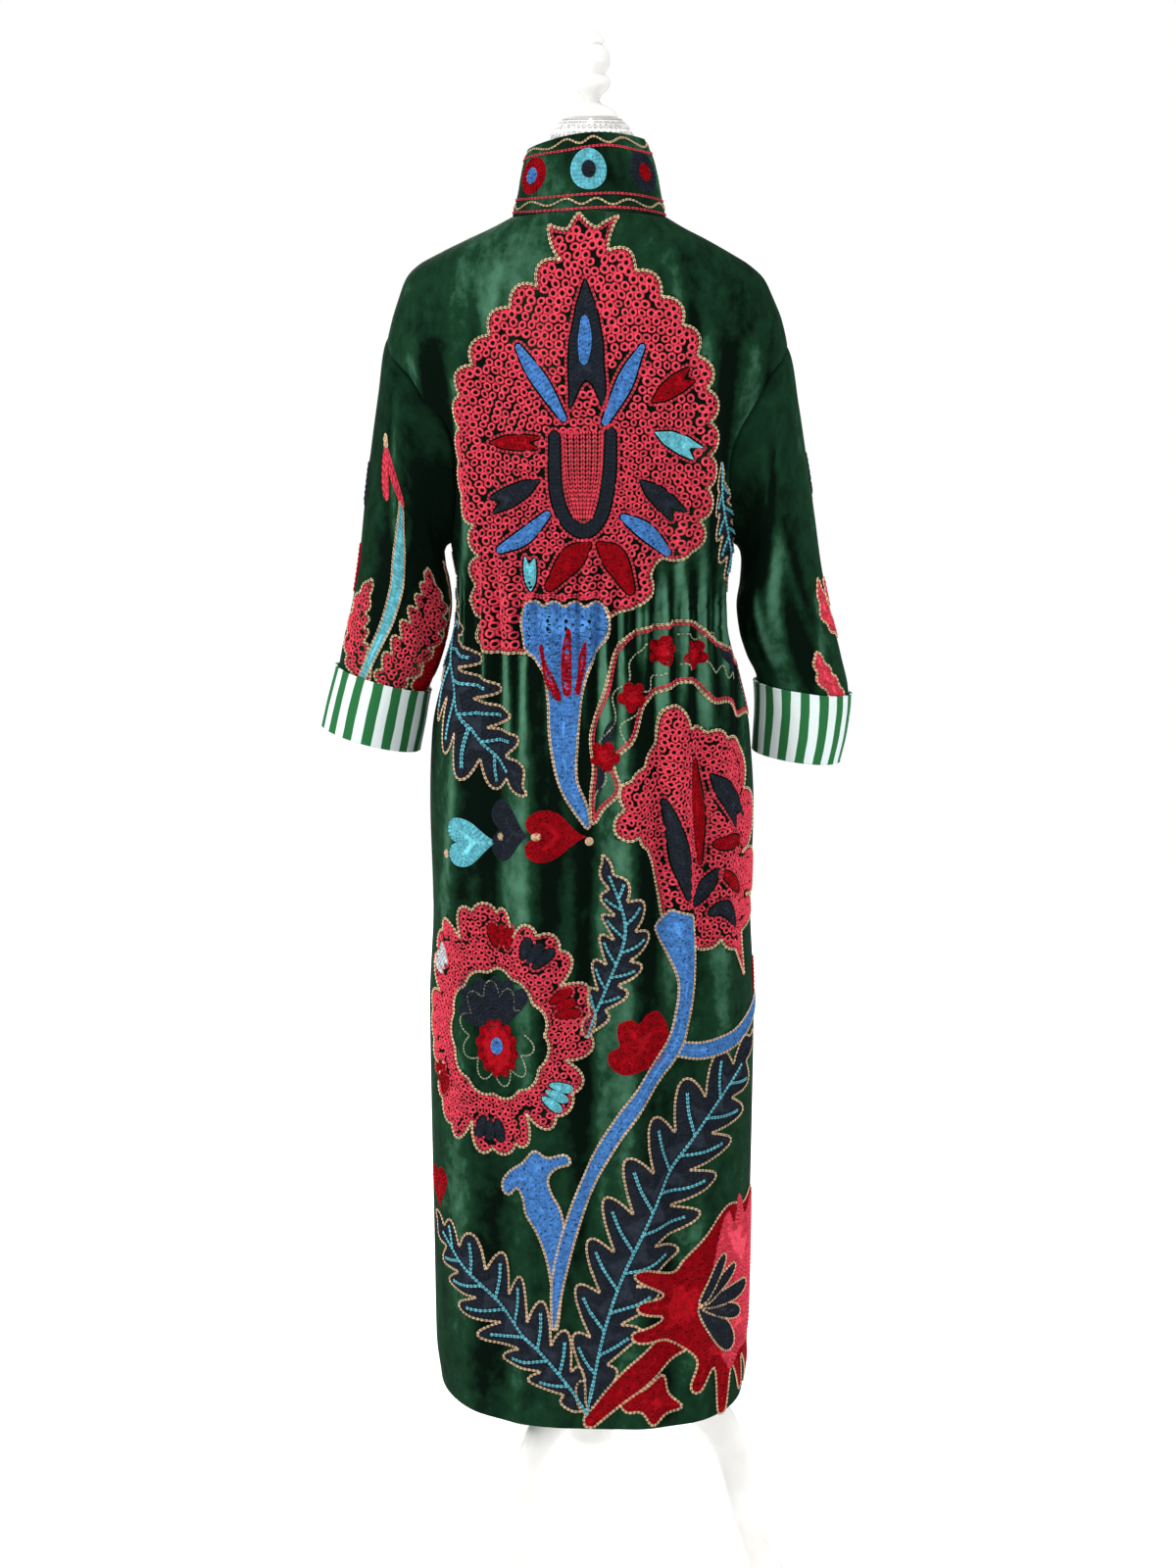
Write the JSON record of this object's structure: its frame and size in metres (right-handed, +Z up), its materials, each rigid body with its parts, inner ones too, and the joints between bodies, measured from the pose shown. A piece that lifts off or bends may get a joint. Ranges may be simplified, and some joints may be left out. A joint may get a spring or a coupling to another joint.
{
  "type": "velvet duster coat on dress form",
  "caption": "Ankle-length velvet duster coat with stand collar, gathered waist and turned-back striped cuffs, worn by a dress form on a tripod stand.",
  "frame": {"origin": "on the floor, at the middle of the part's box", "axes": "+Z up; the wearer faces -Y, so the coat's back is at +Y; the wearer's left side is at +X"},
  "size_m": [0.5401, 0.3792, 1.6253],
  "materials": {
    "velvet": "deep green cotton velvet with chain-stitch embroidery",
    "striped_cotton": "plain-woven cotton lining, green and white stripes",
    "form_cover": "white cotton jersey over a padded form",
    "painted_wood": "satin white paint on turned wood"
  },
  "bodies": {
    "root": {"back_panel": "velvet", "left_front": "velvet", "right_front": "velvet", "collar": "velvet", "left_sleeve": "velvet", "right_sleeve": "velvet", "left_cuff": "striped_cotton", "right_cuff": "striped_cotton", "form_torso": "form_cover", "form_finial": "painted_wood", "stand_pole": "painted_wood", "stand_hub": "painted_wood", "stand_leg_1": "painted_wood", "stand_leg_2": "painted_wood", "stand_leg_3": "painted_wood"}
  },
  "joints": []
}
